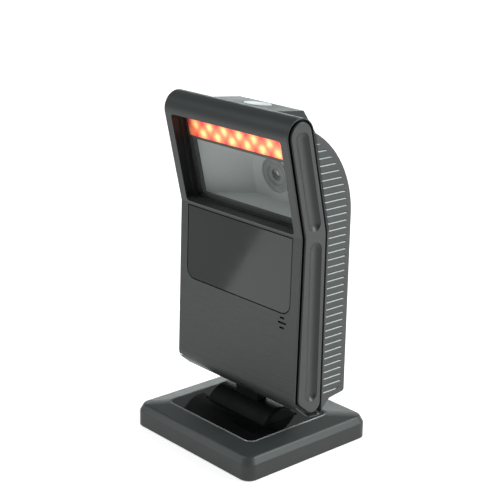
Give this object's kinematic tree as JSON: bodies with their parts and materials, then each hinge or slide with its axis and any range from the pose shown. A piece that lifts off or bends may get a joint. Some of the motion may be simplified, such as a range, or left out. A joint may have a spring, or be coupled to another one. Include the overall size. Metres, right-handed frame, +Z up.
{
  "type": "desktop presentation barcode scanner",
  "caption": "Desktop barcode scanner: a flat scanning head with a large window tilts on a weighted square base, with a push button on top and a cable socket behind.",
  "frame": {"origin": "middle of the base, on the plane its rubber feet stand on", "axes": "+Z up, +X across the width, the window faces -Y"},
  "size_m": [0.0806, 0.0746, 0.1573],
  "materials": {
    "shell_plastic": "dark charcoal, satin, fine texture",
    "cap_plastic": "dark charcoal, satin",
    "base_plastic": "dark charcoal, satin",
    "gloss_black": "black, high gloss",
    "neck_black": "black, semi gloss",
    "clear_window": "clear, polished",
    "gasket_black": "black, soft matte",
    "frame_dark": "dark grey, matte",
    "chamber_grey": "light grey, matte",
    "ring_grey": "mid grey, matte",
    "lens_black": "dark coated lens",
    "red_cover": "clear red strip",
    "led_white": "yellowish white diodes",
    "circuit_green": "green solder mask",
    "chip_black": "black moulded packages",
    "steel": "bare steel",
    "dark_steel": "black zinc plated",
    "bronze": "sintered bronze",
    "foot_rubber": "black, matte",
    "button_silver": "silver white, satin",
    "socket_black": "black moulded",
    "contact_gold": "gold plated wires"
  },
  "bodies": {
    "base": {"base_cover": "base_plastic", "base_inlay": "gloss_black", "base_weight": "dark_steel", "bottom_plate": "base_plastic", "rubber_feet": "foot_rubber", "base_screws": "steel", "neck": "neck_black", "neck_screws": "steel", "hinge_bush": "bronze"},
    "head": {"tilt_shaft": "steel", "friction_washers": "steel", "spring_washers": "steel", "shaft_clips": "dark_steel", "hinge_bracket": "dark_steel", "bracket_screws": "steel", "front_shell": "shell_plastic", "rear_housing": "shell_plastic", "side_cap_left": "cap_plastic", "side_cap_right": "cap_plastic", "front_panel": "gloss_black", "window_gasket": "gasket_black", "scan_window": "clear_window", "light_frame": "frame_dark", "light_board": "circuit_green", "light_leds": "led_white", "light_cover": "red_cover", "reading_chamber": "chamber_grey", "lens_ring": "ring_grey", "lens_glass": "lens_black", "camera_board": "circuit_green", "image_sensor": "chip_black", "camera_screws": "steel", "main_board": "circuit_green", "board_chips": "chip_black", "board_screws": "steel", "buzzer": "chip_black", "cable_socket": "socket_black", "socket_contacts": "contact_gold", "housing_screws": "steel", "button_switch": "chip_black", "button_board": "circuit_green", "button_screws": "steel"},
    "button": {"top_button": "button_silver", "switch_plunger": "button_silver"}
  },
  "joints": [
    {"name": "head_tilt", "type": "hinge", "parent": "base", "child": "head", "pos_m": [0, 0, 0.028], "axis": [-1, 0, 0], "range_deg": [-10, 30]},
    {"name": "button_press", "type": "slide", "parent": "head", "child": "button", "axis": [0, -0.1011, -0.9949], "range_m": [0, 0.0008], "stiffness_N_per_m": 1500, "springref_m": -0.0006}
  ]
}
